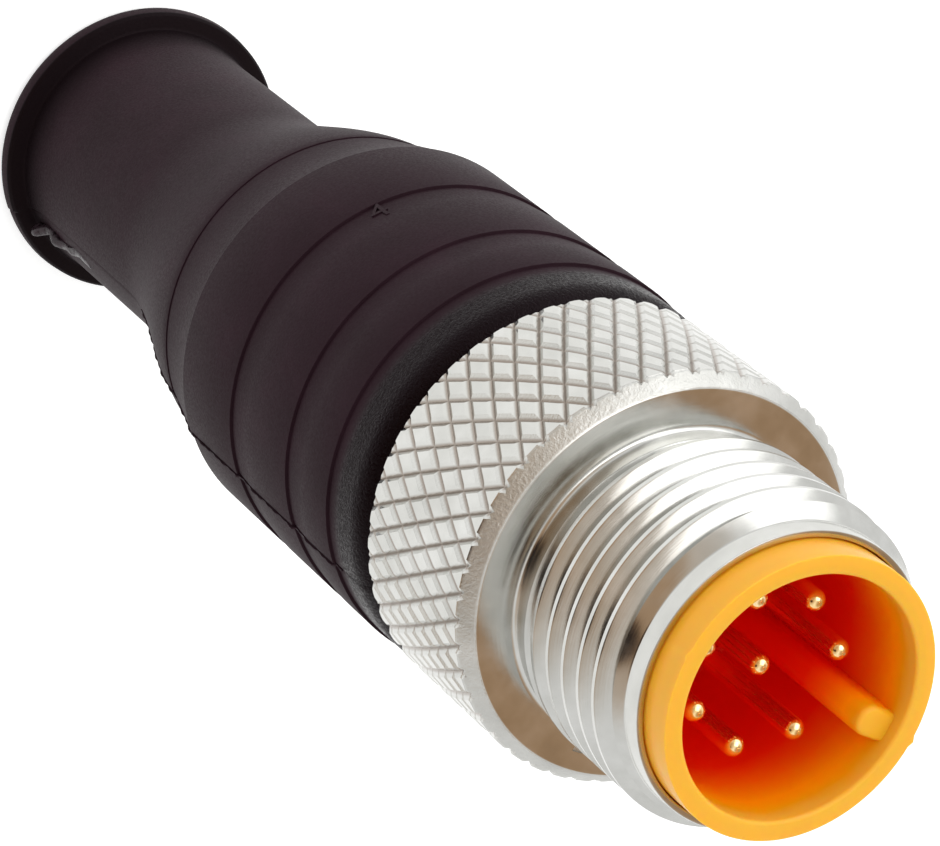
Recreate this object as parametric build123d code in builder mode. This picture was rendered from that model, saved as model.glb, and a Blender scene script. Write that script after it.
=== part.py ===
# Male M12 plug without a cable: eight gold pins in a keyed carrier, a turned screw and a moulded grip.
# The plug stands on the flat rear face of its grip. +Z is its axis, from that face to the mating face,
# and +Y is the side of the key. Sizes are in millimetres.
import os
from math import cos, degrees, radians, tan

from build123d import *

# Clearances
RUNNING_GAP = 0.05  # radial, coupling screw round the carrier
FLOAT_GAP = 0.1  # along the axis, at each end of the coupling screw
MOULD_GAP = 0.01  # between pieces moulded or pressed together
SOLDER_GAP = 0.02  # radial, wire in its cup

# Coupling screw and the grip's collar behind it, which are flush
BODY_D = 15.2

# Grip: rear disc, neck, swell, shoulder and bands, each height measured from the rear face
DISC_D = 12.2
DISC_RIM_TOP = 0.9
DISC_CHAMFER = 0.45
DISC_FLARE_TOP = 3.3
NECK_D = 10.3
NECK_TOP = 10.3
SWELL_D = 14.0
SWELL_TOP = 18.4
SWELL_END_SLOPE = 0.1
SWELL_STEP = 0.08
SHOULDER_TOP = 21.4
BAND_PROUD = 0.1  # radial, bands outside the collar
BAND_TOPS = (25.4, 29.9, 33.1)
BAND_STEP = 0.18
BAND_RISE = 1.3  # length over which a band comes up again from its step
COLLAR_RISE = 0.6
COLLAR_TOP = 35.75
COLLAR_NOSE_R = 1.1

# Coupling screw
NUT_LENGTH = 7.05
NUT_FRONT_CHAMFER = 0.5
NUT_FRONT_BEVEL = 0.85  # length of that chamfer along the axis
NUT_REAR_CHAMFER = 0.25
RELIEF_D = 11.2
RELIEF_LENGTH = 0.7
THREAD_D = 11.9
THREAD_LENGTH = 7.45  # with its relief and its pilot
PILOT_D = 10.7
PILOT_LENGTH = 0.75
SCREW_BORE_CHAMFER = 0.1
SHOULDER_HEIGHT = 5.05  # inner shoulder above the rear face of the screw

# Knurl: V grooves wound both ways round the coupling screw
KNURL_COUNT = 42  # grooves each way
KNURL_DEPTH = 0.16
KNURL_ANGLE = 45.0  # of the grooves to the axis
KNURL_HALF_ANGLE = 36.0  # of the V, square to its groove
KNURL_OVERRUN = 0.2  # cutter past the faces that it leaves

# Carrier
SLEEVE_D = 10.1
SLEEVE_WALL = 0.7
SLEEVE_PROUD = 1.25  # sleeve ahead of the end of the screw
SLEEVE_LIP = 0.2  # chamfer inside the mouth
SLEEVE_EDGE = 0.12  # chamfer outside it
CAVITY_DEPTH = 9.3
CARRIER_NECK_D = 8.6
ANCHOR_GROOVE_D = 7.4
ANCHOR_GROOVE_WIDTH = 1.1
ANCHOR_RING_WIDTH = 1.2
ANCHOR_FLATS = 7.9
NECK_EMBED = 1.1  # full neck inside the grip, behind the collar's front face

# Key rib on the sleeve's wall
KEY_WIDTH = 1.1
KEY_REACH = 1.3
KEY_SET_BACK = 0.5
KEY_EDGE_R = 0.2

# Contacts
PIN_COUNT = 8
PIN_D = 0.76
PIN_CIRCLE_D = 5.5
PIN_KEY_ANGLE = 66.0  # between the two pins beside the key
PIN_SET_BACK = 1.9
MIDDLE_PIN_DROP = 0.4  # middle pin below the others
PIN_DOME_HEIGHT = 0.3
PIN_SHOULDER_DEPTH = 1.0  # shoulder below the cavity floor
PIN_TAIL_D = 1.1
CUP_LENGTH = 3.0  # pin's tail behind the carrier
CUP_BORE_DEPTH = 2.2
CUP_WINDOW = 1.2  # length of the opening in the cup's side

# Wires that join the contacts in pairs, and the cap that keeps the grip's plastic off them
WIRE_D = 0.5
WIRE_DROP = 2.6  # wire loop behind the cups
WIRE_PAIRS = ((1, 2), (3, 4), (5, 6), (7, 8))
CAP_D = 9.2
CAP_WALL = 0.8
CAP_CHAMFER = 0.8
CAP_ROOM = 1.6  # between the wire loops and the cap's end

# Heights that follow from the sizes above
screw_rear = COLLAR_TOP + FLOAT_GAP
screw_face = screw_rear + NUT_LENGTH
screw_front = screw_face + THREAD_LENGTH
screw_shoulder = screw_rear + SHOULDER_HEIGHT
sleeve_rear = screw_shoulder + FLOAT_GAP
sleeve_front = screw_front + SLEEVE_PROUD
cavity_floor = sleeve_front - CAVITY_DEPTH
groove_top = COLLAR_TOP - NECK_EMBED
groove_bottom = groove_top - ANCHOR_GROOVE_WIDTH
carrier_rear = groove_bottom - ANCHOR_RING_WIDTH
pin_tip = sleeve_front - PIN_SET_BACK
pin_shoulder = cavity_floor - PIN_SHOULDER_DEPTH
cup_rear = carrier_rear - CUP_LENGTH
wire_turn = cup_rear - WIRE_DROP
cap_rear = wire_turn - CAP_ROOM - CAP_WALL
cavity_r = SLEEVE_D / 2 - SLEEVE_WALL
pin_pitch = (360 - PIN_KEY_ANGLE) / (PIN_COUNT - 2)

# Radii of the coupling screw: outside, and its bores, in which the sleeve and the carrier's neck turn
body_r = BODY_D / 2
front_bore_r = SLEEVE_D / 2 + RUNNING_GAP
rear_bore_r = CARRIER_NECK_D / 2 + RUNNING_GAP


def pin_turn(number):
    """Angle of a pin from the key: 1 to 7 run round the circle from one side of the key to the other."""
    return PIN_KEY_ANGLE / 2 + pin_pitch * (number - 1)


def pin_place(number):
    """Centre of a pin: the last one is in the middle of the circle."""
    reach = 0 if number == PIN_COUNT else PIN_CIRCLE_D / 2
    return Vector(0, reach, 0).rotate(Axis.Z, pin_turn(number))


def pin_outline(number, gap):
    """Half section of a pin in the XZ plane, wider by a gap all round where it seats in the carrier."""
    pin_r = PIN_D / 2 + gap
    tail_r = PIN_TAIL_D / 2 + gap
    dome_top = pin_tip - MIDDLE_PIN_DROP if number == PIN_COUNT else pin_tip
    dome_start = dome_top - PIN_DOME_HEIGHT
    dome_r = (PIN_DOME_HEIGHT**2 + pin_r**2) / (2 * PIN_DOME_HEIGHT)
    with BuildSketch(Plane.XZ) as half:
        with BuildLine():
            Polyline(
                (0, dome_top),
                (0, cup_rear),
                (tail_r, cup_rear),
                (tail_r, pin_shoulder + gap),
                (pin_r, pin_shoulder + gap),
                (pin_r, dome_start),
            )
            RadiusArc((pin_r, dome_start), (0, dome_top), -dome_r)
        make_face()
    return half.sketch


def anchor_outline(gap):
    """Carrier's anchor ring seen along the axis: a disc with two flats that stop it turning in the grip."""
    with BuildSketch() as ring:
        Circle(CARRIER_NECK_D / 2 + gap)
        Rectangle(2 * CARRIER_NECK_D, ANCHOR_FLATS + 2 * gap, mode=Mode.INTERSECT)
    return ring.sketch


def knurl_groove(wind):
    """Cutter for one V groove of the knurl along the whole ring. wind is 1 or -1, the way it turns."""
    length = NUT_LENGTH + 2 * KNURL_OVERRUN
    half_width = tan(radians(KNURL_HALF_ANGLE)) / cos(radians(KNURL_ANGLE)) * (KNURL_DEPTH + KNURL_OVERRUN)
    outline = Wire.make_polygon(
        [
            Vector(body_r - KNURL_DEPTH, 0),
            Vector(body_r + KNURL_OVERRUN, -half_width),
            Vector(body_r + KNURL_OVERRUN, half_width),
        ],
        close=True,
    )
    turn = wind * degrees(length * tan(radians(KNURL_ANGLE)) / body_r)
    cutter = Solid.extrude_linear_with_rotation(Face(outline), (0, 0, 0), (0, 0, length), turn)
    return cutter.translate(Vector(0, 0, screw_rear - KNURL_OVERRUN))


def save(piece, name):
    """Label a finished piece and write it under its own name."""
    piece.label = name
    export_step(piece, f"parts/{name}.step")


os.makedirs("parts", exist_ok=True)

# Contact pins: turned, with a domed tip, a shoulder and a solder cup cut open on its outer side
for number in range(1, PIN_COUNT + 1):
    with BuildPart() as contact_pin:
        add(pin_outline(number, 0))
        revolve(axis=Axis.Z)
        with Locations((0, 0, cup_rear)):
            Cylinder(
                WIRE_D / 2 + SOLDER_GAP,
                CUP_BORE_DEPTH,
                align=(Align.CENTER, Align.CENTER, Align.MIN),
                mode=Mode.SUBTRACT,
            )
            Box(
                2 * PIN_TAIL_D,
                PIN_TAIL_D,
                CUP_WINDOW,
                align=(Align.CENTER, Align.MIN, Align.MIN),
                mode=Mode.SUBTRACT,
            )
    placed_pin = contact_pin.part.rotate(Axis.Z, pin_turn(number)).translate(pin_place(number))
    save(placed_pin, f"contact_pin_{number}")

# Bridge wires: each out of one cup, across behind the cups and into the other
for index, pair in enumerate(WIRE_PAIRS, start=1):
    cup_ends = [pin_place(number) + Vector(0, 0, cup_rear + CUP_BORE_DEPTH - SOLDER_GAP) for number in pair]
    turns = [pin_place(number) + Vector(0, 0, wire_turn) for number in pair]
    with BuildPart() as bridge_wire:
        with BuildLine() as route:
            Polyline(cup_ends[0], turns[0], turns[1], cup_ends[1])
        with BuildSketch(Plane(route.line @ 0, z_dir=route.line % 0)):
            Circle(WIRE_D / 2)
        sweep(path=route.line, transition=Transition.RIGHT)
    save(bridge_wire.part, f"bridge_wire_{index}")

# Carrier: sleeve, floor and neck in one moulding, with the key rib on the wall and a seat round each pin
with BuildPart() as contact_carrier:
    with BuildSketch(Plane.XZ):
        with BuildLine():
            Polyline(
                (0, carrier_rear),
                (ANCHOR_GROOVE_D / 2, carrier_rear),
                (ANCHOR_GROOVE_D / 2, groove_top),
                (CARRIER_NECK_D / 2, groove_top),
                (CARRIER_NECK_D / 2, sleeve_rear),
                (SLEEVE_D / 2, sleeve_rear),
                (SLEEVE_D / 2, sleeve_front),
                (cavity_r, sleeve_front),
                (cavity_r, cavity_floor),
                (0, cavity_floor),
                close=True,
            )
        make_face()
    revolve(axis=Axis.Z)
    chamfer(contact_carrier.edges().group_by(Axis.Z)[-1].sort_by(SortBy.RADIUS)[0], length=SLEEVE_LIP)
    chamfer(contact_carrier.edges().group_by(Axis.Z)[-1].sort_by(SortBy.RADIUS)[-1], length=SLEEVE_EDGE)
    with BuildSketch(Plane.XY.offset(carrier_rear)):
        add(anchor_outline(0))
    extrude(amount=ANCHOR_RING_WIDTH)
    with BuildSketch(Plane.XY.offset(cavity_floor)):
        with Locations((0, cavity_r - KEY_REACH + KEY_WIDTH / 2)):
            Circle(KEY_WIDTH / 2)
            Rectangle(KEY_WIDTH, KEY_REACH, align=(Align.CENTER, Align.MIN))
        Circle(cavity_r + SLEEVE_WALL / 2, mode=Mode.INTERSECT)
    extrude(amount=CAVITY_DEPTH - KEY_SET_BACK)
    key_end = contact_carrier.faces(Select.LAST).sort_by(Axis.Z)[-1]
    fillet(key_end.edges().sort_by(Axis.Y)[:-1], radius=KEY_EDGE_R)
    for number in range(1, PIN_COUNT + 1):
        seat = Solid.revolve(pin_outline(number, MOULD_GAP).face(), 360, Axis.Z)
        add(seat.translate(pin_place(number)), mode=Mode.SUBTRACT)
save(contact_carrier.part, "contact_carrier")

# Coupling screw: knurled ring, thread drawn as its crest cylinder between relief and pilot, inner shoulder
thread_r = THREAD_D / 2
relief_r = RELIEF_D / 2
pilot_r = PILOT_D / 2
relief_end = screw_face + RELIEF_LENGTH
pilot_start = screw_front - PILOT_LENGTH
with BuildPart() as coupling_screw:
    with BuildSketch(Plane.XZ):
        with BuildLine():
            Polyline(
                (rear_bore_r, screw_rear),
                (body_r - NUT_REAR_CHAMFER, screw_rear),
                (body_r, screw_rear + NUT_REAR_CHAMFER),
                (body_r, screw_face - NUT_FRONT_BEVEL),
                (body_r - NUT_FRONT_CHAMFER, screw_face),
                (relief_r, screw_face),
                (relief_r, relief_end),
                (thread_r, relief_end + thread_r - relief_r),
                (thread_r, pilot_start - thread_r + pilot_r),
                (pilot_r, pilot_start),
                (pilot_r, screw_front),
                (front_bore_r + SCREW_BORE_CHAMFER, screw_front),
                (front_bore_r, screw_front - SCREW_BORE_CHAMFER),
                (front_bore_r, screw_shoulder),
                (rear_bore_r, screw_shoulder),
                close=True,
            )
        make_face()
    revolve(axis=Axis.Z)
    for wind in (1, -1):
        with PolarLocations(0, KNURL_COUNT):
            add(knurl_groove(wind), mode=Mode.SUBTRACT)
save(coupling_screw.part, "coupling_screw")

# Cap over the cups and wires, closed at the rear and open towards the carrier
with BuildPart() as inner_mould:
    with BuildSketch(Plane.XY.offset(cap_rear)):
        Circle(CAP_D / 2)
    extrude(amount=carrier_rear - cap_rear)
    chamfer(inner_mould.edges().group_by(Axis.Z)[0], length=CAP_CHAMFER)
    with BuildSketch(Plane.XY.offset(cap_rear + CAP_WALL)):
        Circle(CAP_D / 2 - CAP_WALL)
    extrude(until=Until.LAST, mode=Mode.SUBTRACT)
save(inner_mould.part, "inner_mould")

# Grip: turned outline, hollow only where the cap and the carrier's neck lie
disc_r = DISC_D / 2
neck_r = NECK_D / 2
swell_r = SWELL_D / 2
band_r = body_r + BAND_PROUD
step_r = band_r - BAND_STEP
flare_height = DISC_FLARE_TOP - DISC_RIM_TOP
flare_reach = disc_r - neck_r
flare_r = (flare_height**2 + flare_reach**2) / (2 * flare_reach)
with BuildPart() as grip_body:
    with BuildSketch(Plane.XZ):
        with BuildLine():
            Polyline((0, 0), (disc_r, 0), (disc_r, DISC_RIM_TOP))
            RadiusArc((disc_r, DISC_RIM_TOP), (neck_r, DISC_FLARE_TOP), flare_r)
            Line((neck_r, DISC_FLARE_TOP), (neck_r, NECK_TOP))
            Spline((neck_r, NECK_TOP), (swell_r, SWELL_TOP), tangents=[(0, 1), (SWELL_END_SLOPE, 1)])
            Polyline((swell_r, SWELL_TOP), (swell_r - SWELL_STEP, SWELL_TOP), (band_r, SHOULDER_TOP))
            Line((band_r, SHOULDER_TOP), (band_r, BAND_TOPS[0]))
            for below, top in zip(BAND_TOPS, BAND_TOPS[1:]):
                Polyline((band_r, below), (step_r, below), (band_r, below + BAND_RISE), (band_r, top))
            Polyline(
                (band_r, BAND_TOPS[-1]),
                (step_r, BAND_TOPS[-1]),
                (body_r, BAND_TOPS[-1] + COLLAR_RISE),
                (body_r, COLLAR_TOP),
                (0, COLLAR_TOP),
                (0, 0),
            )
        make_face()
    revolve(axis=Axis.Z)
    fillet(grip_body.edges().group_by(Axis.Z)[-1], radius=COLLAR_NOSE_R)
    chamfer(grip_body.edges().group_by(Axis.Z)[0], length=DISC_CHAMFER)
    with BuildSketch(Plane.XY.offset(cap_rear - MOULD_GAP)):
        Circle(CAP_D / 2 + MOULD_GAP)
    extrude(amount=carrier_rear - cap_rear + MOULD_GAP, mode=Mode.SUBTRACT)
    with BuildSketch(Plane.XY.offset(carrier_rear)):
        add(anchor_outline(MOULD_GAP))
    extrude(amount=ANCHOR_RING_WIDTH + MOULD_GAP, mode=Mode.SUBTRACT)
    with BuildSketch(Plane.XY.offset(groove_bottom)):
        Circle(ANCHOR_GROOVE_D / 2 + MOULD_GAP)
    extrude(amount=ANCHOR_GROOVE_WIDTH, mode=Mode.SUBTRACT)
    with BuildSketch(Plane.XY.offset(groove_top - MOULD_GAP)):
        Circle(CARRIER_NECK_D / 2 + MOULD_GAP)
    extrude(amount=NECK_EMBED + MOULD_GAP, mode=Mode.SUBTRACT)
save(grip_body.part, "grip_body")
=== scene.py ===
from math import atan2, cos, degrees, pi, radians, sin, sqrt, tan

import bpy
from mathutils import Matrix, Vector


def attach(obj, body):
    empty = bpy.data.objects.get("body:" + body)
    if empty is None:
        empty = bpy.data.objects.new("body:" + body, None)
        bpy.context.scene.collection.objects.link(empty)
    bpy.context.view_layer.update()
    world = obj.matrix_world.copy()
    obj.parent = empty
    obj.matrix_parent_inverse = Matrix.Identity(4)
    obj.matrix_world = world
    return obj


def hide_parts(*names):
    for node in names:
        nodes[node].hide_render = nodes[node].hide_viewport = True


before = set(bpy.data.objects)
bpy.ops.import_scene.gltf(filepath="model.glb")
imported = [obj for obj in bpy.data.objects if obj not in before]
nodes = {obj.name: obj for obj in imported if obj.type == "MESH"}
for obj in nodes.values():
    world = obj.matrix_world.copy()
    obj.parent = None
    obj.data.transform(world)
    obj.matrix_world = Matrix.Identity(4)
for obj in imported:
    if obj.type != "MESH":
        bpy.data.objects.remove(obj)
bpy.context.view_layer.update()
scene = bpy.context.scene

# Sizes in millimetres, heights from the rear face of the plug
MM = 0.001
FLOOR_R, FLOOR_GAP = 0.15, 0.00002
TURNED_STEPS = 144
PIN_STEPS = 48

# Grip
DISC_R, DISC_EDGE, DISC_RIM_TOP, DISC_TOP = 6.0, 0.45, 0.85, 1.1
NECK_FOOT_R, NECK_FOOT_TOP = 5.3, 2.6
NECK_R, NECK_TOP = 5.15, 10.3
SWELL_R, SWELL_TOP, SWELL_STEP, SWELL_END_SLOPE = 7.0, 18.4, 0.05, 0.1
SHOULDER_TOP, BAND_R, BAND_STEP, BAND_RISE = 21.4, 7.7, 0.11, 1.3
BAND_TOPS = (25.4, 29.9, 33.1)
COLLAR_R, COLLAR_RISE, COLLAR_TOP, NOSE_R = 7.6, 0.6, 35.75, 1.1
CAP_REAR, CAP_TOP, CAP_SEAT_R, NECK_SEAT_R = 24.34, 32.35, 4.61, 4.31
PARTING_ANGLES = (137.5, 317.5)
PARTING_WIDTH, PARTING_GROOVE, HALF_MISMATCH = 0.1, 0.1, 0.05
FLASH_THICKNESS, FLASH_ROOT, FLASH_STEP = 0.05, 0.15, 0.12
FLASH_LOW, FLASH_HIGH, FLASH_LEAST, FLASH_RISE = 12.0, 33.6, 0.01, 0.035
TORN_LOW, TORN_HIGH, TORN_ANGLE, TORN_WANDER = 1.3, 6.0, 326, 1.3
TORN_RISE, TORN_THICKNESS = 0.42, 0.45
NUMBER_SIZE, NUMBER_RISE, NUMBER_R, NUMBER_HEIGHT, NUMBER_ANGLE = 1.4, 0.05, 7.65, 26.4, 227

# Coupling screw
SCREW_REAR, SCREW_FACE, SCREW_FRONT = 35.85, 42.9, 50.35
BODY_R, FRONT_CHAMFER, FRONT_BEVEL, REAR_CHAMFER = 7.6, 0.5, 0.55, 0.25
RELIEF_R, RELIEF_END = 5.6, 43.6
THREAD_R, THREAD_PITCH, THREAD_DEPTH = 5.95, 1.0, 0.56
THREAD_ROOT_WIDTH, THREAD_GROOVE_WIDTH, THREAD_EASE = 0.16, 0.76, 0.04
THREAD_TURNS, THREAD_RUN_IN = 7, 0.35
PILOT_R, PILOT_START = 5.35, 49.6
FRONT_BORE_R, REAR_BORE_R, SCREW_SHOULDER = 5.1, 4.35, 40.9
KNURL_COLUMNS, KNURL_ROWS, KNURL_ANGLE = 48, 5, 30
KNURL_START, KNURL_DEPTH, KNURL_GROOVE, KNURL_EASE = 35.4, 0.16, 0.16, 0.03
KNURL_ROOM = 0.08

# Carrier
SLEEVE_R, CAVITY_R, SLEEVE_FRONT, CAVITY_FLOOR = 5.05, 4.35, 51.6, 42.3
SLEEVE_REAR, CARRIER_REAR, CARRIER_NECK_R = 41.0, 32.35, 4.3
LIP_R, EDGE_R, RIM_NUB = 0.15, 0.04, 0.1
KEY_WIDTH, KEY_REACH, KEY_TOP, KEY_EDGE, KEY_ROOT = 1.1, 1.3, 51.1, 0.2, 0.3

# Contacts
PIN_COUNT, PIN_R, PIN_CIRCLE_R, PIN_KEY_ANGLE = 8, 0.38, 2.75, 66.0
PIN_TOP, MIDDLE_DROP, DOME_HEIGHT = 49.7, 0.4, 0.3
NIB_R, NIB_HEIGHT = 0.06, 0.03
PIN_SHOULDER, TAIL_R, CUP_REAR = 41.3, 0.55, 29.35
CUP_BORE_R, CUP_BORE_DEPTH = 0.27, 2.2

# Finishes. The mould's grain is about 0.03 mm and a turning mark 0.02 mm wide, and both are too
# fine to show, so they are drawn as coarse as they need to show
MOULD_GRAIN, ERODED_GRAIN, TURNING_MARK, PLATING_GRIT = 0.09, 0.1, 0.06, 0.12
MARK_STRETCH = 0.02
GLOW_DEEP, GLOW_WANDER = 46.5, 0.6

# Studio: sizes in metres, and the gaps between its lamps as azimuth, elevation, outer and inner
# half angle, and the brightness left in the middle
SOFTBOXES = (
    ("softbox_top", (-0.2, -0.02, 0.4), 0.28),
    ("softbox_side", (-0.38, 0.06, 0.22), 0.34),
)
SOFTBOX_TARGET, SOFTBOX_POWER = (0, 0, 0.03), 0.4
STUDIO_GAPS = (
    (250, 40, 50, 15, 0.75),
    (296, 22, 50, 18, 0.62),
    (298, 37, 15, 6, 0.0),
    (294, 7, 22, 8, 0.0),
    (248, 41, 16, 8, 0.72),
    (75, 57, 40, 16, 0.42),
)
FLOOR_GLOW, FLOOR_MIRRORED = 0.55, 0.8
CAMERA_PLACE, CAMERA_TARGET = (-23.872, -95.075, 156.123), (-0.01, 0.05, 29.07)
CAMERA_ROLL, CAMERA_LENS = 129.74, 172.1

# Kinds of shader nodes
NOISE, RAMP, RANGE = "ShaderNodeTexNoise", "ShaderNodeValToRGB", "ShaderNodeMapRange"
MIX, MATHS, BUMP = "ShaderNodeMix", "ShaderNodeMath", "ShaderNodeBump"
SMOOTH = {"interpolation_type": "SMOOTHSTEP"}


def linear(colour):
    """Scene colour of an sRGB hex colour."""
    parts = [int(colour[i : i + 2], 16) / 255 for i in (1, 3, 5)]
    parts = [p / 12.92 if p <= 0.04045 else ((p + 0.055) / 1.055) ** 2.4 for p in parts]
    return (*parts, 1.0)


def connect(tree, made, inputs):
    """Sets a node's inputs to values, or links them from sockets or nodes' first outputs in use."""
    for name, value in inputs.items():
        if isinstance(value, bpy.types.Node):
            value = next(output for output in value.outputs if output.enabled)
        if isinstance(value, bpy.types.NodeSocket):
            tree.links.new(value, made.inputs[name])
        else:
            made.inputs[name].default_value = value


def node(tree, kind, inputs, stops=(), **settings):
    """Adds a node with its settings, its inputs and its colour stops of a place and an sRGB hex."""
    made = tree.nodes.new(kind)
    for name, value in settings.items():
        setattr(made, name, value)
    connect(tree, made, inputs)
    if stops:
        elements = made.color_ramp.elements
        while len(elements) < len(stops):
            elements.new(1.0)
        for element, (place, colour) in zip(elements, stops):
            element.position = place
            element.color = linear(colour)
    return made


def features(place, size, detail=3.0, roughness=0.55):
    """A noise's inputs, for features of about that size in millimetres."""
    return {"Vector": place, "Scale": 1 / (size * MM), "Detail": detail, "Roughness": roughness}


def span(value, low, high, to_low=0.0, to_high=1.0):
    """A range's inputs, from low and high to the two others."""
    return {"Value": value, "From Min": low, "From Max": high, "To Min": to_low, "To Max": to_high}


def new_finish(name):
    """New material with only its shader: itself, its tree, the shader and object coordinates."""
    made = bpy.data.materials.new(name)
    made.use_nodes = True
    tree = made.node_tree
    place = node(tree, "ShaderNodeTexCoord", {}).outputs["Object"]
    return made, tree, tree.nodes["Principled BSDF"], place


def round_axis(tree, place):
    """Parts of a place that a turned piece needs: its X, its Z and its distance from the axis."""
    parts = node(tree, "ShaderNodeSeparateXYZ", {"Vector": place}).outputs
    across = node(tree, "ShaderNodeCombineXYZ", {"X": parts["X"], "Y": parts["Y"]})
    r = node(tree, "ShaderNodeVectorMath", {0: across}, operation="LENGTH")
    return parts["X"], parts["Z"], r


def black_elastomer():
    """Thermoplastic polyurethane, injection moulded: nearly black and matt, with a fine grain.

    The mould is eroded at the collar, which shows as a glossier and coarser surface. The recess
    over the disc and the collar are darkened with painted shade.
    """
    made, tree, shader, place = new_finish("polyurethane_black_moulded")
    height = node(tree, "ShaderNodeSeparateXYZ", {"Vector": place}).outputs["Z"]
    collar_foot = BAND_TOPS[-1] + COLLAR_RISE / 2
    collar = node(
        tree, RANGE, span(height, collar_foot * MM, (collar_foot + COLLAR_RISE) * MM), **SMOOTH
    )
    cloud = node(tree, NOISE, features(place, 2.4, 4.0))
    black = ((0.3, "#1F1016"), (0.55, "#23131A"), (0.75, "#28161E"))
    colour = node(tree, RAMP, {"Fac": cloud}, black)
    # Painted shade: the recess over the disc, between the rim and the neck's foot, is darkened.
    recess_low, recess_high = (DISC_RIM_TOP + 0.1) * MM, (NECK_FOOT_TOP + 0.6) * MM
    recess = node(tree, RANGE, span(height, recess_low, recess_high, 1.0, 0.0), **SMOOTH)
    over_rim = node(
        tree, RANGE, span(height, (DISC_RIM_TOP - 0.1) * MM, DISC_RIM_TOP * MM), **SMOOTH
    )
    recess_shade = node(tree, MATHS, {0: recess, 1: over_rim}, operation="MULTIPLY")
    # Painted shade on the collar and in the recess: the base colour is mixed towards #080204.
    dark = node(tree, MATHS, {0: recess_shade, 1: collar}, operation="MAXIMUM")
    painted_shade_colour = node(
        tree, MIX, {"Factor": dark, "A": colour, "B": linear("#080204")}, data_type="RGBA"
    )
    speckle = node(tree, NOISE, features(place, ERODED_GRAIN, 2.0, 0.7))
    grain = node(tree, NOISE, features(place, MOULD_GRAIN, 2.0, 0.6))
    matt = node(tree, RANGE, span(speckle, 0.3, 0.7, 0.5, 0.62), **SMOOTH)
    gloss = node(tree, RANGE, span(speckle, 0.4, 0.6, 0.2, 0.5), **SMOOTH)
    fine = node(tree, BUMP, {"Height": grain, "Distance": 0.006 * MM})
    coarse = node(tree, MATHS, {0: collar, 1: speckle}, operation="MULTIPLY")
    values = {
        "Base Color": painted_shade_colour,
        "Roughness": node(tree, MIX, {"Factor": collar, "A": matt, "B": gloss}),
        "IOR": 1.5,
        "Specular IOR Level": 0.11,
        "Specular Tint": linear("#F6DCE6"),
        "Normal": node(tree, BUMP, {"Height": coarse, "Distance": 0.04 * MM, "Normal": fine}),
    }
    connect(tree, shader, values)
    return made


def black_elastomer_torn():
    """The same polyurethane where flash has been torn off: smoother and paler, so it glints."""
    made, tree, shader, place = new_finish("polyurethane_black_torn")
    tear = node(tree, NOISE, features(place, 0.25, 2.0))
    values = {
        "Base Color": node(tree, RAMP, {"Fac": tear}, ((0.3, "#1E1418"), (0.7, "#35292F"))),
        "Roughness": node(tree, RANGE, span(tear, 0.3, 0.7, 0.18, 0.4), **SMOOTH),
        "Specular IOR Level": 0.3,
        "Normal": node(tree, BUMP, {"Height": tear, "Distance": 0.05 * MM}),
    }
    connect(tree, shader, values)
    return made


def nickel_plate():
    """Brass, turned and nickel plated: bright, with turning marks, faint cloud and specks of dirt.

    The knurl's grooves are darkened with painted shade, and the bevel in front of the knurl is
    pitted.
    """
    made, tree, shader, place = new_finish("brass_nickel_plated")
    x, height, r = round_axis(tree, place)
    along_mark = node(tree, MATHS, {0: x, 1: MARK_STRETCH}, operation="MULTIPLY")
    ring = node(tree, "ShaderNodeCombineXYZ", {"X": r, "Y": along_mark, "Z": height})
    marks = node(tree, NOISE, features(ring, TURNING_MARK, 3.0, 0.6))
    cloud = node(tree, NOISE, features(place, 1.6))
    grit = node(tree, NOISE, features(place, PLATING_GRIT, 3.0, 0.65))
    plate = ((0.3, "#BDBDB9"), (0.5, "#C5C5C1"), (0.72, "#D0D0CD"))
    colour = node(tree, RAMP, {"Fac": cloud}, plate)
    dirt = node(tree, RANGE, span(grit, 0.7, 0.8, 0.0, 0.55), **SMOOTH)
    groove_r = BODY_R - KNURL_DEPTH
    bevel_low = SCREW_FACE - FRONT_BEVEL
    past_shank = span(r, (groove_r - 0.06) * MM, (groove_r - 0.03) * MM)
    low_down = span(r, (groove_r + 0.01) * MM, (groove_r + 0.09) * MM, 0.75, 0.0)
    knurled = span(height, bevel_low * MM, (bevel_low + 0.1) * MM, 1.0, 0.0)
    on_bevel = span(height, bevel_low * MM, (bevel_low + 0.1) * MM)
    off_face = span(height, (SCREW_FACE - 0.06) * MM, (SCREW_FACE - 0.01) * MM, 1.0, 0.0)
    past_shank, low_down, knurled, on_bevel, off_face = (
        node(tree, RANGE, limits, **SMOOTH)
        for limits in (past_shank, low_down, knurled, on_bevel, off_face)
    )
    # Painted shade: the bottoms of the knurl's grooves are darkened to #85776B.
    groove = node(tree, MATHS, {0: past_shank, 1: low_down}, operation="MULTIPLY")
    groove = node(tree, MATHS, {0: groove, 1: knurled}, operation="MULTIPLY")
    pitted = node(tree, MATHS, {0: on_bevel, 1: off_face}, operation="MULTIPLY")
    painted_groove_shade = node(
        tree, MIX, {"Factor": groove, "A": colour, "B": linear("#85776B")}, data_type="RGBA"
    )
    bright = node(tree, RANGE, span(cloud, 0.3, 0.7, 0.14, 0.24), **SMOOTH)
    pits = node(tree, MATHS, {0: pitted, 1: grit}, operation="MULTIPLY")
    pits = node(tree, BUMP, {"Height": pits, "Distance": 0.03 * MM})
    values = {
        "Base Color": node(
            tree, MIX, {"Factor": dirt, "A": painted_groove_shade, "B": linear("#6E5440")}, data_type="RGBA"
        ),
        "Metallic": 1.0,
        "Roughness": node(tree, MIX, {"Factor": pitted, "A": bright, "B": 0.42}),
        "Normal": node(tree, BUMP, {"Height": marks, "Distance": 0.0025 * MM, "Normal": pits}),
    }
    connect(tree, shader, values)
    return made


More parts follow.
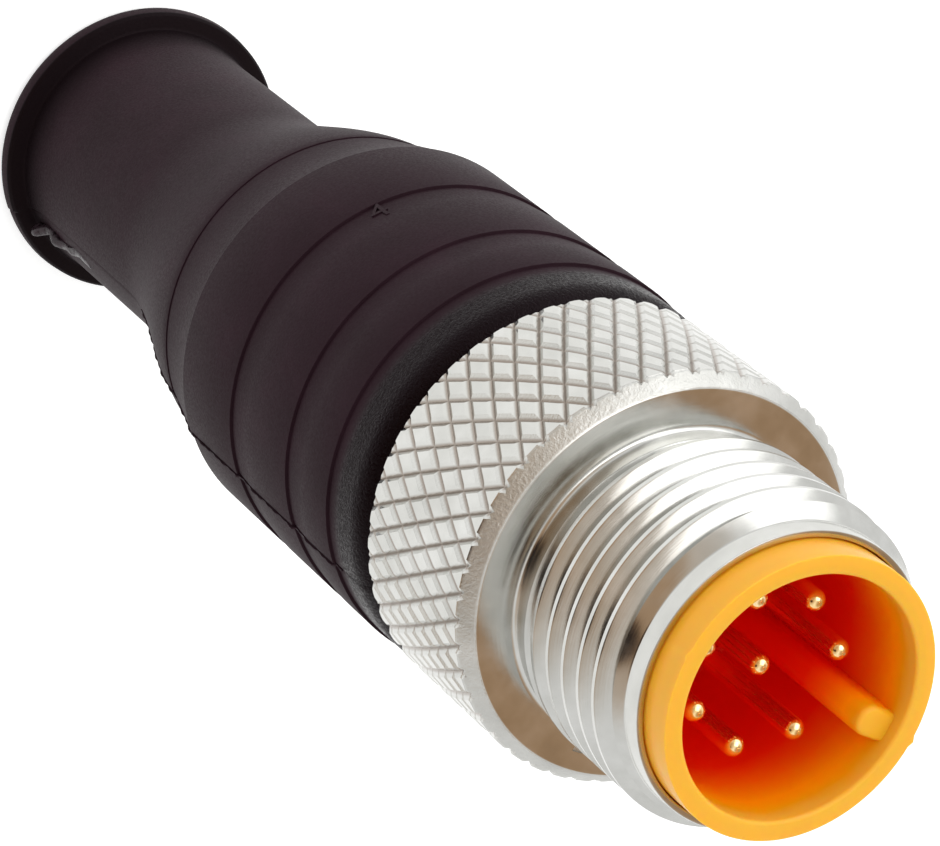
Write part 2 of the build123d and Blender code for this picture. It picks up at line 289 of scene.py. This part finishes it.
def orange_plastic():
    """Polyamide, injection moulded in orange: glossy and slightly see-through.

    Light that comes in at the sleeve's rim makes it glow, yellow near the rim and red deep inside.
    """
    made, tree, shader, place = new_finish("polyamide_orange_moulded")
    height, r = round_axis(tree, place)[1:]
    skin_start, skin_end = (CAVITY_R + 0.2) * MM, (SLEEVE_R - 0.2) * MM
    outside = node(tree, RANGE, span(r, skin_start, skin_end), **SMOOTH)
    cloud = node(tree, NOISE, features(place, 1.8))
    grain = node(tree, NOISE, features(place, 0.15, 2.0))
    wander = node(tree, MATHS, {0: cloud, 1: GLOW_WANDER * MM, 2: height}, operation="MULTIPLY_ADD")
    depth = node(tree, RANGE, span(wander, GLOW_DEEP * MM, SLEEVE_FRONT * MM))
    glow = node(
        tree,
        RAMP,
        {"Fac": depth},
        (
            (0.0, "#FF1400"),
            (0.3, "#FF2400"),
            (0.55, "#FF6400"),
            (0.78, "#FF9600"),
            (0.9, "#E49E04"),
            (1.0, "#DEAB35"),
        ),
    )
    skin = node(tree, RAMP, {"Fac": depth}, ((0.7, "#FFAC24"), (1.0, "#E2AB35")))
    values = {
        "Base Color": node(
            tree, MIX, {"Factor": outside, "A": glow, "B": skin}, data_type="RGBA"
        ),
        "Roughness": node(tree, RANGE, span(grain, 0.3, 0.7, 0.28, 0.38), **SMOOTH),
        "IOR": 1.53,
        "Specular IOR Level": 0.22,
        "Subsurface Weight": 0.8,
        "Subsurface Radius": (1.0, 0.28, 0.02),
        "Subsurface Scale": 0.8 * MM,
        "Normal": node(tree, BUMP, {"Height": grain, "Distance": 0.003 * MM}),
    }
    connect(tree, shader, values)
    return made


def gold_plate():
    """Copper alloy, turned and gold plated: polished and pale, with the faintest turning marks."""
    made, tree, shader, place = new_finish("copper_alloy_gold_plated")
    marks = node(tree, NOISE, features(place, 0.08, 2.0))
    cloud = node(tree, NOISE, features(place, 0.9, 2.0))
    values = {
        "Base Color": node(tree, RAMP, {"Fac": cloud}, ((0.3, "#F9D48C"), (0.7, "#FFE6B4"))),
        "Metallic": 1.0,
        "Roughness": node(tree, RANGE, span(marks, 0.3, 0.7, 0.12, 0.2), **SMOOTH),
        "Normal": node(tree, BUMP, {"Height": marks, "Distance": 0.0003 * MM}),
    }
    connect(tree, shader, values)
    return made


def hidden_finish(name, dark, light, metallic, roughness):
    """Finish of a piece inside the plug, with a little cloud in its colour and gloss."""
    made, tree, shader, place = new_finish(name)
    cloud = node(tree, NOISE, features(place, 0.8))
    grain = node(tree, NOISE, features(place, 0.1, 2.0))
    dull = roughness + 0.12
    values = {
        "Base Color": node(tree, RAMP, {"Fac": cloud}, ((0.3, dark), (0.7, light))),
        "Metallic": metallic,
        "Roughness": node(tree, RANGE, span(cloud, 0.3, 0.7, roughness, dull), **SMOOTH),
        "Normal": node(tree, BUMP, {"Height": grain, "Distance": 0.003 * MM}),
    }
    connect(tree, shader, values)
    return made


def active_edit(piece):
    """Leaves only that piece selected and opens it in edit mode."""
    bpy.ops.object.select_all(action="DESELECT")
    piece.select_set(True)
    bpy.context.view_layer.objects.active = piece
    bpy.ops.object.mode_set(mode="EDIT")


def pick(piece, kind, wanted):
    """In edit mode, selects only the vertices, edges or polygons that wanted() is true for."""
    bpy.ops.mesh.select_all(action="DESELECT")
    bpy.ops.mesh.select_mode(type={"vertices": "VERT", "edges": "EDGE", "polygons": "FACE"}[kind])
    bpy.ops.object.mode_set(mode="OBJECT")
    elements = getattr(piece.data, kind)
    for element in elements:
        element.select = wanted(element)
    bpy.ops.object.mode_set(mode="EDIT")


def turned(name, outline, steps, closed=False):
    """Turned piece: a ring carried along a half outline of (radius, height), then closed."""
    start_r, start_height = outline[0]
    bpy.ops.object.select_all(action="DESELECT")
    bpy.ops.mesh.primitive_circle_add(vertices=steps, radius=start_r * MM, location=(0, 0, 0))
    piece = bpy.context.object
    piece.name = name
    bpy.ops.object.mode_set(mode="EDIT")
    bpy.ops.mesh.select_mode(type="VERT")
    bpy.ops.mesh.select_all(action="SELECT")
    bpy.ops.transform.translate(value=(0, 0, start_height * MM))
    for (r, height), (next_r, next_height) in zip(outline, outline[1:]):
        lift = {"value": (0, 0, (next_height - height) * MM)}
        bpy.ops.mesh.extrude_region_move(TRANSFORM_OT_translate=lift)
        scale = next_r / r
        bpy.ops.transform.resize(value=(scale, scale, 1), center_override=(0, 0, next_height * MM))
    bpy.ops.mesh.select_all(action="DESELECT")
    bpy.ops.mesh.select_mode(type="EDGE")
    bpy.ops.mesh.select_non_manifold()
    if closed:
        bpy.ops.mesh.bridge_edge_loops()
    else:
        bpy.ops.mesh.fill_holes(sides=0)
    bpy.ops.mesh.select_all(action="SELECT")
    bpy.ops.mesh.normals_make_consistent(inside=False)
    bpy.ops.object.mode_set(mode="OBJECT")
    return piece


def modified(piece, kind, **settings):
    """Adds a modifier with its settings and applies it."""
    bpy.ops.object.select_all(action="DESELECT")
    piece.select_set(True)
    bpy.context.view_layer.objects.active = piece
    modifier = piece.modifiers.new(kind, kind)
    for name, value in settings.items():
        setattr(modifier, name, value)
    bpy.ops.object.modifier_apply(modifier=modifier.name)


def eased(piece, width, segments=2, angle=25):
    """Rounds the piece's sharp edges."""
    modified(
        piece,
        "BEVEL",
        width=width * MM,
        segments=segments,
        limit_method="ANGLE",
        angle_limit=radians(angle),
        use_clamp_overlap=True,
    )


def cleaned(piece, distance=1e-6):
    """Merges vertices within that distance in metres and takes out faces without area."""
    active_edit(piece)
    bpy.ops.mesh.select_all(action="SELECT")
    bpy.ops.mesh.remove_doubles(threshold=distance)
    bpy.ops.mesh.dissolve_degenerate(threshold=distance)
    bpy.ops.mesh.normals_make_consistent(inside=False)
    bpy.ops.object.mode_set(mode="OBJECT")


def combined(piece, tool, operation):
    """Cuts, joins or crosses the piece with a tool, which is used up."""
    modified(piece, "BOOLEAN", object=tool, operation=operation, solver="MANIFOLD")
    bpy.data.objects.remove(tool, do_unlink=True)
    cleaned(piece)


def finished(piece, finish, body, slot, *stands_for, angle=35):
    """Shades the piece, gives it its finish and its place in the frame."""
    bpy.ops.object.select_all(action="DESELECT")
    piece.select_set(True)
    bpy.context.view_layer.objects.active = piece
    bpy.ops.object.shade_smooth_by_angle(angle=radians(angle))
    piece.data.materials.clear()
    piece.data.materials.append(finish)
    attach(piece, body)
    if stands_for:
        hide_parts(*stands_for)


def arc(centre, r, start, end, count):
    """Points (radius, height) on an arc between two angles in degrees, both ends with it."""
    turns = [radians(start + (end - start) * i / count) for i in range(count + 1)]
    return [(centre[0] + r * cos(t), centre[1] + r * sin(t)) for t in turns]


def swell_points(count):
    """Grip's S curve from the neck to the swell, which leaves the neck upright."""
    start, end = Vector((NECK_R, NECK_TOP)), Vector((SWELL_R, SWELL_TOP))
    reach = (end - start).length
    leave, arrive = Vector((0, reach)), Vector((SWELL_END_SLOPE, 1)).normalized() * reach
    points = []
    for i in range(count + 1):
        t = i / count
        points.append(
            tuple(
                (2 * t**3 - 3 * t**2 + 1) * start
                + (t**3 - 2 * t**2 + t) * leave
                + (3 * t**2 - 2 * t**3) * end
                + (t**3 - t**2) * arrive
            )
        )
    return points


def grip_outline():
    """Grip's half outline from the rear face over the collar's nose and down to the cap's seat."""
    points = arc((DISC_R - DISC_EDGE, DISC_EDGE), DISC_EDGE, -90, 0, 5)
    points += [(DISC_R - 0.04, DISC_RIM_TOP), (DISC_R - 0.14, DISC_RIM_TOP + 0.12)]
    foot_height = NECK_FOOT_TOP - DISC_TOP
    foot_reach = NECK_FOOT_R - NECK_R
    foot_r = (foot_height**2 + foot_reach**2) / (2 * foot_reach)
    foot_start = 180 + degrees(atan2(foot_height, foot_r - foot_reach))
    points += [(NECK_FOOT_R + 0.12, DISC_TOP - 0.04)]
    points += arc((NECK_R + foot_r, NECK_FOOT_TOP), foot_r, foot_start, 180, 8)
    points += [(NECK_R, 5.6), (NECK_R, 8.0)]
    points += swell_points(18)
    points += [(SWELL_R - SWELL_STEP, SWELL_TOP)]
    points += [(BAND_R - 0.03, SHOULDER_TOP), (BAND_R, SHOULDER_TOP + 0.03)]
    step_r = BAND_R - BAND_STEP
    for top in BAND_TOPS[:-1]:
        points += [(BAND_R, top), (step_r, top), (BAND_R, top + BAND_RISE)]
    points += [(BAND_R, BAND_TOPS[-1]), (step_r, BAND_TOPS[-1])]
    points += [(COLLAR_R, BAND_TOPS[-1] + COLLAR_RISE)]
    points += arc((COLLAR_R - NOSE_R, COLLAR_TOP - NOSE_R), NOSE_R, 0, 90, 8)
    points += [(NECK_SEAT_R, COLLAR_TOP), (NECK_SEAT_R, CAP_TOP), (CAP_SEAT_R, CAP_TOP - 0.01)]
    points += [(CAP_SEAT_R, CAP_REAR)]
    return points


def angle_of(place):
    """Angle of a place round the axis, from 0 to 360 degrees."""
    return degrees(atan2(place.y, place.x)) % 360


def outside_bore(place):
    """Whether a place on the grip lies outside its bore."""
    return place.xy.length > 1.01 * CAP_SEAT_R * MM


def near_parting(place, width):
    """Whether a place on the grip's outside is within that many degrees of the parting plane."""
    aside = [abs((angle_of(place) - turn + 180) % 360 - 180) for turn in PARTING_ANGLES]
    return min(aside) < width and outside_bore(place)


def make_grip(finish):
    """Grip: its turned outline, then the mould's parting lines and the mismatch of its halves."""
    grip = turned("grip_moulding", grip_outline(), TURNED_STEPS)
    eased(grip, 0.05, 2, 20)
    active_edit(grip)
    places = grip.data.vertices

    def parting_edge(edge):
        return all(near_parting(places[i].co, 0.2) for i in edge.vertices)

    pick(grip, "edges", parting_edge)
    bpy.ops.mesh.bevel(offset=PARTING_WIDTH * MM, segments=2, affect="EDGES")
    pick(grip, "vertices", lambda vertex: near_parting(vertex.co, 0.15))
    inward = 1 - PARTING_GROOVE / BAND_R
    bpy.ops.transform.resize(value=(inward, inward, 1), center_override=(0, 0, 0))
    low, high = PARTING_ANGLES
    smaller = 1 - HALF_MISMATCH / BAND_R

    def other_half(vertex):
        turn = angle_of(vertex.co)
        return outside_bore(vertex.co) and (turn > high + 0.3 or turn < low - 0.3)

    pick(grip, "vertices", other_half)
    bpy.ops.transform.resize(value=(smaller, smaller, 1), center_override=(0, 0, 0))
    bpy.ops.object.mode_set(mode="OBJECT")
    cleaned(grip)
    finished(grip, finish, "plug", "grip_black", "grip_body", angle=30)


def outer_radius(outline, height):
    """Radius of the outline's outside at that height."""
    for (r, low), (next_r, high) in zip(outline, outline[1:]):
        if low <= height < high:
            return r + (next_r - r) * (height - low) / (high - low)
    return outline[-1][0]


def make_flash(name, finish, low, high, angle, rise, thickness, rounding=0):
    """Flash: a thin fin along the grip, with angle and rise given as functions of the height."""
    outline = grip_outline()
    count = round((high - low) / FLASH_STEP)
    bpy.ops.object.select_all(action="DESELECT")
    bpy.ops.mesh.primitive_grid_add(x_subdivisions=1, y_subdivisions=count, size=MM)
    fin = bpy.context.object
    fin.name = name
    for vertex in fin.data.vertices:
        outer = vertex.co.x > 0
        height = low + (high - low) * (vertex.co.y / MM + 0.5)
        r = outer_radius(outline, height) + (rise(height) if outer else -FLASH_ROOT)
        turn = radians(angle(height))
        vertex.co = (r * MM * cos(turn), r * MM * sin(turn), height * MM)
    modified(fin, "SOLIDIFY", thickness=thickness * MM, offset=0.0)
    if rounding:
        modified(fin, "SUBSURF", levels=rounding, render_levels=rounding)
    finished(fin, finish, "plug", "grip_black")


def make_cavity_number(finish):
    """Mould cavity's number, raised on the first band."""
    bpy.ops.object.select_all(action="DESELECT")
    bpy.ops.object.text_add(location=(0, 0, 0))
    number = bpy.context.object
    number.name = "cavity_number"
    number.data.body = "4"
    number.data.align_x = "CENTER"
    number.data.size = NUMBER_SIZE * MM
    number.data.extrude = NUMBER_RISE * MM
    bpy.ops.object.convert(target="MESH")
    turn = radians(NUMBER_ANGLE)
    outward = Vector((cos(turn), sin(turn), 0))
    along = Vector((sin(turn), -cos(turn), 0))
    upright = Vector((0, 0, -1))
    place = outward * NUMBER_R * MM - upright * NUMBER_HEIGHT * MM
    facing = Matrix((along, upright, outward)).transposed().to_4x4()
    number.data.transform(Matrix.Translation(place) @ facing)
    cleaned(number)
    finished(number, finish, "plug", "grip_black")


def thread_groove():
    """Cutter for the thread: its V, wound along the screw, which goes in slowly at the relief."""
    low = THREAD_R - THREAD_DEPTH
    high = THREAD_R - THREAD_EASE
    top = THREAD_R + 0.2
    half_root, half_top = THREAD_ROOT_WIDTH / 2, THREAD_GROOVE_WIDTH / 2
    wide = half_top + THREAD_EASE
    outline = [
        (low, -half_root),
        (low, half_root),
        (high, half_top),
        (THREAD_R, wide),
        (top, wide),
        (top, -wide),
        (THREAD_R, -wide),
        (high, -half_top),
    ]
    bpy.ops.object.select_all(action="DESELECT")
    bpy.ops.mesh.primitive_circle_add(vertices=len(outline), radius=MM, location=(0, 0, 0))
    groove = bpy.context.object
    groove.name = "thread_groove"
    for vertex, (r, height) in zip(groove.data.vertices, outline):
        vertex.co = (r * MM, 0, (RELIEF_END - THREAD_RUN_IN + height) * MM)
    modified(
        groove,
        "SCREW",
        axis="Z",
        angle=2 * pi * THREAD_TURNS,
        screw_offset=THREAD_TURNS * THREAD_PITCH * MM,
        steps=TURNED_STEPS * THREAD_TURNS,
        render_steps=TURNED_STEPS * THREAD_TURNS,
        use_merge_vertices=False,
    )
    ease_steps = TURNED_STEPS // 3
    start_lift = RELIEF_R - low + 0.05
    for vertex in groove.data.vertices:
        early = max(0.0, 1 - (vertex.index // len(outline)) / ease_steps)
        lift = 1 + early * start_lift / THREAD_R
        vertex.co = (vertex.co.x * lift, vertex.co.y * lift, vertex.co.z)
    active_edit(groove)
    bpy.ops.mesh.select_mode(type="EDGE")
    bpy.ops.mesh.select_all(action="DESELECT")
    bpy.ops.mesh.select_non_manifold()
    bpy.ops.mesh.fill_holes(sides=0)
    bpy.ops.mesh.select_all(action="SELECT")
    bpy.ops.mesh.normals_make_consistent(inside=False)
    bpy.ops.object.mode_set(mode="OBJECT")
    return groove


def knurl_blank():
    """Knurled bar: diamonds between grooves that wind both ways, with eased edges."""
    base_r = BODY_R - KNURL_DEPTH
    row = 2 * pi * BODY_R / KNURL_COLUMNS / tan(radians(KNURL_ANGLE))
    outline = [(base_r, KNURL_START + row * i) for i in range(KNURL_ROWS + 1)]
    knurl = turned("knurl_blank", outline, KNURL_COLUMNS)
    active_edit(knurl)
    pick(knurl, "polygons", lambda face: abs(face.normal.z) < 0.5)
    grid = {tuple(sorted(edge.vertices)) for edge in knurl.data.edges}
    bpy.ops.mesh.poke()
    middle = base_r * MM * 0.5 * (1 + cos(pi / KNURL_COLUMNS))
    pick(knurl, "vertices", lambda vertex: vertex.co.xy.length < middle)
    swell = 1 / cos(pi / KNURL_COLUMNS)
    bpy.ops.transform.resize(value=(swell, swell, 1), center_override=(0, 0, 0))
    rims = outline[0][1] * MM, outline[-1][1] * MM

    def between_diamonds(edge):
        heights = [knurl.data.vertices[i].co.z for i in edge.vertices]
        on_rim = any(all(abs(height - rim) < 1e-6 for height in heights) for rim in rims)
        return tuple(sorted(edge.vertices)) in grid and not on_rim

    pick(knurl, "edges", between_diamonds)
    bpy.ops.mesh.dissolve_edges(use_verts=False)
    pick(knurl, "polygons", lambda face: abs(face.normal.z) < 0.5)
    side, rise = (KNURL_GROOVE - KNURL_EASE / 2) * MM, (KNURL_DEPTH - KNURL_EASE) * MM
    bpy.ops.mesh.inset(thickness=side, depth=rise, use_individual=True)
    bpy.ops.mesh.inset(thickness=KNURL_EASE * MM, depth=KNURL_EASE * MM, use_individual=True)

    def front_end(face):
        return face.normal.z > 0.9 and len(face.vertices) == KNURL_COLUMNS

    pick(knurl, "polygons", front_end)
    lift = {"value": (0, 0, (SCREW_FRONT + 1) * MM - rims[-1])}
    bpy.ops.mesh.extrude_region_move(TRANSFORM_OT_translate=lift)
    bpy.ops.object.mode_set(mode="OBJECT")
    return knurl


def make_screw(finish):
    """Coupling screw: turned, threaded and knurled."""
    slope = FRONT_BEVEL / FRONT_CHAMFER
    room = KNURL_ROOM
    outline = [
        (BODY_R - REAR_CHAMFER, SCREW_REAR),
        (BODY_R + room, SCREW_REAR + REAR_CHAMFER + room),
        (BODY_R + room, SCREW_FACE - FRONT_BEVEL - room * slope),
        (BODY_R - FRONT_CHAMFER, SCREW_FACE),
        (RELIEF_R + 0.2, SCREW_FACE),
        (RELIEF_R + 0.06, SCREW_FACE + 0.06),
        (RELIEF_R, SCREW_FACE + 0.2),
        (RELIEF_R, RELIEF_END),
        (THREAD_R, RELIEF_END + THREAD_R - RELIEF_R),
        (THREAD_R, PILOT_START - THREAD_R + PILOT_R),
        (PILOT_R, PILOT_START),
        (PILOT_R, SCREW_FRONT),
        (FRONT_BORE_R, SCREW_FRONT),
        (FRONT_BORE_R, SCREW_SHOULDER),
        (REAR_BORE_R, SCREW_SHOULDER),
        (REAR_BORE_R, SCREW_REAR),
    ]
    screw = turned("screw_turned", outline, TURNED_STEPS, closed=True)
    eased(screw, 0.05, 2, 20)
    combined(screw, thread_groove(), "DIFFERENCE")
    combined(screw, knurl_blank(), "INTERSECT")
    finished(screw, finish, "screw", "plated_screw", "coupling_screw", angle=25)


def make_carrier(finish):
    """Carrier: sleeve with rounded lips, the mould's nubs on its rim, floor, neck and key rib."""
    outline = [
        (CARRIER_NECK_R, CARRIER_REAR),
        (CARRIER_NECK_R, SLEEVE_REAR),
        (SLEEVE_R, SLEEVE_REAR),
        (SLEEVE_R, 49.0),
        (SLEEVE_R, 50.6),
    ]
    outline += arc((SLEEVE_R - EDGE_R, SLEEVE_FRONT - EDGE_R), EDGE_R, 0, 90, 3)
    outline += arc((CAVITY_R + LIP_R, SLEEVE_FRONT - LIP_R), LIP_R, 90, 180, 5)
    outline += [(CAVITY_R, 50.0), (CAVITY_R, 46.0), (CAVITY_R, CAVITY_FLOOR + LIP_R)]
    outline += [(CAVITY_R - LIP_R, CAVITY_FLOOR)]
    carrier = turned("carrier_moulding", outline, TURNED_STEPS)
    active_edit(carrier)

    def nub(vertex):
        side = abs(vertex.co.x) < 0.01 * MM
        outside = vertex.co.xy.length > (SLEEVE_R - EDGE_R - 0.01) * MM
        return side and outside and vertex.co.z > (SLEEVE_FRONT - EDGE_R - 0.01) * MM

    pick(carrier, "vertices", nub)
    outward = 1 + RIM_NUB / SLEEVE_R
    bpy.ops.transform.resize(value=(outward, outward, 1), center_override=(0, 0, 0))
    bpy.ops.object.mode_set(mode="OBJECT")
    bpy.ops.object.select_all(action="DESELECT")
    low = CAVITY_FLOOR - KEY_ROOT
    reach = KEY_REACH + KEY_ROOT
    bpy.ops.mesh.primitive_cube_add(size=MM)
    key = bpy.context.object
    key.name = "key_rib"
    bpy.ops.object.mode_set(mode="EDIT")
    bpy.ops.mesh.select_all(action="SELECT")
    bpy.ops.transform.resize(value=(KEY_WIDTH, reach, KEY_TOP - low))
    middle = CAVITY_R - KEY_REACH + reach / 2
    bpy.ops.transform.translate(value=(0, middle * MM, (KEY_TOP + low) / 2 * MM))
    inner = (CAVITY_R - KEY_REACH) * MM

    def inner_side(edge):
        ends = [key.data.vertices[i].co for i in edge.vertices]
        return all(abs(end.y - inner) < 1e-6 for end in ends) and abs(ends[0].z - ends[1].z) > 1e-6

    pick(key, "edges", inner_side)
    bpy.ops.mesh.bevel(offset=KEY_WIDTH * 0.46 * MM, segments=8, affect="EDGES")

    def top_rim(edge):
        ends = [key.data.vertices[i].co for i in edge.vertices]
        return all(end.z > (KEY_TOP - 0.001) * MM for end in ends)

    pick(key, "edges", top_rim)
    bpy.ops.mesh.bevel(offset=KEY_EDGE * MM, segments=4, affect="EDGES")
    bpy.ops.object.mode_set(mode="OBJECT")
    combined(carrier, key, "UNION")
    finished(carrier, finish, "plug", "carrier_orange", "contact_carrier")


def pin_outline(top):
    """Half outline of a pin: solder cup, tail, shoulder, dome and the nib that turning leaves."""
    dome_r = (DOME_HEIGHT**2 + PIN_R**2) / (2 * DOME_HEIGHT)
    centre = top - dome_r
    start = degrees(atan2(dome_r - DOME_HEIGHT, PIN_R))
    end = degrees(atan2(sqrt(dome_r**2 - NIB_R**2), NIB_R))
    points = [
        (CUP_BORE_R, CUP_REAR + CUP_BORE_DEPTH),
        (CUP_BORE_R, CUP_REAR),
        (TAIL_R - 0.05, CUP_REAR),
        (TAIL_R, CUP_REAR + 0.05),
        (TAIL_R, PIN_SHOULDER),
        (PIN_R, PIN_SHOULDER),
    ]
    points += arc((0, centre), dome_r, start, end, 8)
    points += [(NIB_R, top + NIB_HEIGHT), (NIB_R * 0.5, top + NIB_HEIGHT)]
    return points


def make_pins(finish):
    """Pins: one turned long and one short, copied round the circle."""
    long_pin = turned("long_contact", pin_outline(PIN_TOP), PIN_STEPS)
    short_pin = turned("short_contact", pin_outline(PIN_TOP - MIDDLE_DROP), PIN_STEPS)
    pitch = (360 - PIN_KEY_ANGLE) / (PIN_COUNT - 2)
    pins = {PIN_COUNT: short_pin}
    for number in range(1, PIN_COUNT):
        pin = long_pin if number == PIN_COUNT - 1 else long_pin.copy()
        if pin is not long_pin:
            pin.data = long_pin.data.copy()
            scene.collection.objects.link(pin)
        turn = radians(90 + PIN_KEY_ANGLE / 2 + pitch * (number - 1))
        place = Vector((cos(turn), sin(turn), 0)) * PIN_CIRCLE_R * MM
        pin.data.transform(Matrix.Translation(place))
        pins[number] = pin
    for number, pin in pins.items():
        pin.name = f"pin_{number}"
        finished(pin, finish, "plug", "gold_contact", f"contact_pin_{number}")


def studio_floor():
    """Pale floor, which glows for the camera and the plating so that it is seen as white."""
    made, tree, shader, place = new_finish("studio_floor")
    cloud = node(tree, NOISE, features(place, 40, 2.0))
    seen = node(tree, "ShaderNodeLightPath", {}).outputs
    mirrored = {0: seen["Is Glossy Ray"], 1: FLOOR_MIRRORED}
    mirrored = node(tree, MATHS, mirrored, operation="MULTIPLY")
    shown = node(tree, MATHS, {0: seen["Is Camera Ray"], 1: mirrored}, operation="MAXIMUM")
    shown = node(tree, MATHS, {0: shown, 1: seen["Is Transmission Ray"]}, operation="MAXIMUM")
    values = {
        "Base Color": node(tree, RAMP, {"Fac": cloud}, ((0.3, "#D8D8D7"), (0.7, "#DBDBDA"))),
        "Roughness": 0.9,
        "Specular IOR Level": 0.1,
        "Emission Color": linear("#FFFFFF"),
        "Emission Strength": node(tree, MATHS, {0: shown, 1: FLOOR_GLOW}, operation="MULTIPLY"),
    }
    connect(tree, shader, values)
    return made


def direction(azimuth, elevation):
    """Unit vector: azimuth from +X towards +Y, elevation above the horizon."""
    a, e = radians(azimuth), radians(elevation)
    return Vector((cos(a) * cos(e), sin(a) * cos(e), sin(e)))


def make_world():
    """Pale studio round the object. Only what the metal mirrors of it has the lamps' dark gaps."""
    world = bpy.data.worlds.new("studio")
    scene.world = world
    world.use_nodes = True
    tree = world.node_tree
    way = node(tree, "ShaderNodeTexCoord", {}).outputs["Generated"]
    level = None
    for azimuth, elevation, outer, inner, left in STUDIO_GAPS:
        centre = direction(azimuth, elevation)
        dot = node(tree, "ShaderNodeVectorMath", {0: way, 1: centre}, operation="DOT_PRODUCT")
        limits = span(dot, cos(radians(outer)), cos(radians(inner)), 1.0, left)
        gap = node(tree, RANGE, limits, **SMOOTH)
        level = node(tree, MATHS, {0: level, 1: gap}, operation="MULTIPLY") if level else gap
    mirrored = node(
        tree,
        RAMP,
        {"Fac": level},
        (
            (0.0, "#120906"),
            (0.2, "#5E4230"),
            (0.45, "#C29E7A"),
            (0.7, "#DCCDBD"),
            (0.9, "#F1EDE8"),
            (1.0, "#FFFFFF"),
        ),
    )
    glossy = node(tree, "ShaderNodeLightPath", {}).outputs["Is Glossy Ray"]
    shown = {"Factor": glossy, "A": linear("#FFFFFF"), "B": mirrored}
    shown = node(tree, MIX, shown, data_type="RGBA")
    connect(tree, tree.nodes["Background"], {"Color": shown, "Strength": 1.0})


def softbox(name, place, size):
    """Square area lamp of that size in metres, aimed at the object's middle."""
    lamp_data = bpy.data.lights.new(name, "AREA")
    lamp_data.shape = "SQUARE"
    lamp_data.size = size
    lamp_data.energy = SOFTBOX_POWER
    lamp = bpy.data.objects.new(name, lamp_data)
    scene.collection.objects.link(lamp)
    lamp.location = place
    lamp.rotation_mode = "QUATERNION"
    aim = Vector(SOFTBOX_TARGET) - Vector(place)
    lamp.rotation_quaternion = aim.to_track_quat("-Z", "Y")


def make_camera():
    """Camera of the photograph: near the mating face, above, and turned on its own axis."""
    data = bpy.data.cameras.new("camera")
    camera = bpy.data.objects.new("camera", data)
    scene.collection.objects.link(camera)
    place, target = Vector(CAMERA_PLACE) * MM, Vector(CAMERA_TARGET) * MM
    roll = radians(CAMERA_ROLL)
    forward = (target - place).normalized()
    level_right = forward.cross(Vector((0, 0, 1))).normalized()
    level_up = level_right.cross(forward)
    up = level_up * cos(roll) - level_right * sin(roll)
    right = forward.cross(up)
    facing = Matrix((right, up, -forward)).transposed().to_4x4()
    camera.matrix_world = Matrix.Translation(place) @ facing
    data.sensor_width = 36.0
    data.lens = CAMERA_LENS
    data.clip_start = 0.01
    data.clip_end = 5.0
    scene.camera = camera


def torn_angle(height):
    """Angle of the torn flash, which wanders along the neck."""
    return TORN_ANGLE + TORN_WANDER * sin(2.2 * height)


def torn_rise(height):
    """Rise of the torn flash, highest at the disc and ragged all the way."""
    left = max(0.0, 1 - (height - TORN_LOW) / (TORN_HIGH - TORN_LOW))
    return TORN_RISE * left**1.5 * (1.1 + 0.5 * sin(4.7 * height))


def make_parting_flashes(finish):
    """The thin uneven flash on each of the two parting lines."""
    for side, turn in enumerate(PARTING_ANGLES):

        def rise(height, side=side):
            return FLASH_RISE * (1 + sin(7.3 * height + side) * sin(2.9 * height)) + FLASH_LEAST

        make_flash(
            f"parting_flash_{side + 1}",
            finish,
            FLASH_LOW,
            FLASH_HIGH,
            lambda height, turn=turn: turn,
            rise,
            FLASH_THICKNESS,
        )


grip_finish = black_elastomer()
screw_finish = nickel_plate()
carrier_finish = orange_plastic()
pin_finish = gold_plate()
torn_finish = black_elastomer_torn()
cap_finish = hidden_finish("polypropylene_black_moulded", "#1B1B1C", "#262627", 0.0, 0.45)
wire_finish = hidden_finish("copper_tinned", "#C3C4C2", "#D5D6D4", 1.0, 0.25)

make_grip(grip_finish)
make_parting_flashes(grip_finish)
make_flash(
    "torn_flash",
    torn_finish,
    TORN_LOW,
    TORN_HIGH,
    torn_angle,
    torn_rise,
    TORN_THICKNESS,
    rounding=2,
)
make_cavity_number(grip_finish)
make_screw(screw_finish)
make_carrier(carrier_finish)
make_pins(pin_finish)
for name, part in nodes.items():
    if name == "inner_mould" or name.startswith("bridge_wire"):
        part.data.materials.clear()
        part.data.materials.append(cap_finish if name == "inner_mould" else wire_finish)

bpy.ops.object.select_all(action="DESELECT")
bpy.ops.mesh.primitive_circle_add(
    vertices=96, radius=FLOOR_R, fill_type="NGON", location=(0, 0, -FLOOR_GAP)
)
floor = bpy.context.object
floor.name = "floor"
floor.data.materials.append(studio_floor())

make_world()
for softbox_name, softbox_place, softbox_size in SOFTBOXES:
    softbox(softbox_name, softbox_place, softbox_size)
make_camera()

scene.view_settings.view_transform = "Standard"
